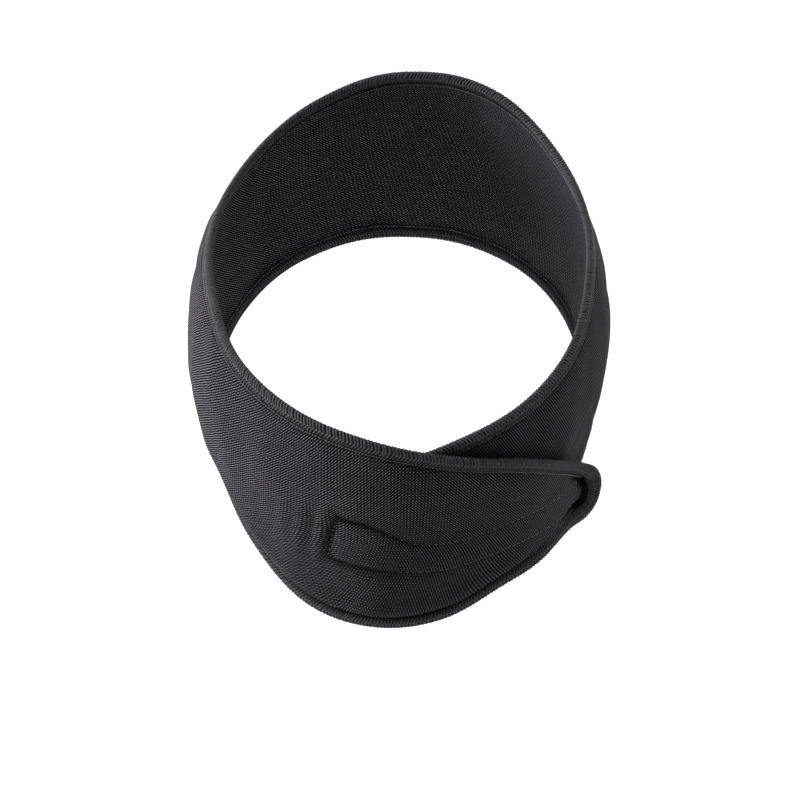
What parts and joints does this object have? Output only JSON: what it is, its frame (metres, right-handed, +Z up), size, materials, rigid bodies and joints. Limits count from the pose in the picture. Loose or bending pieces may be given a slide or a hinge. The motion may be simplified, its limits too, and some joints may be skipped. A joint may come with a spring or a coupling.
{
  "type": "mesh head wrap",
  "caption": "Strip of mesh cloth worn as a tilted ring round a head, with an overlocked edge and tapered tails that overlap at the back on hook and loop tape.",
  "frame": {"origin": "middle of the head opening, level with the widest part of the head", "axes": "+X to the wearer's right, +Y towards the face, +Z up through the crown"},
  "size_m": [0.1622, 0.2093, 0.15],
  "materials": {
    "mesh_cloth": "matte black warp-knit mesh",
    "overlock_thread": "black overlock thread with a slight lustre",
    "hook_tape": "black nylon hooks on a woven tape",
    "loop_tape": "black brushed nylon loops"
  },
  "bodies": {
    "root": {"mesh_band": "mesh_cloth", "edge_binding": "overlock_thread", "hook_tape": "hook_tape", "loop_tape": "loop_tape"}
  },
  "joints": []
}
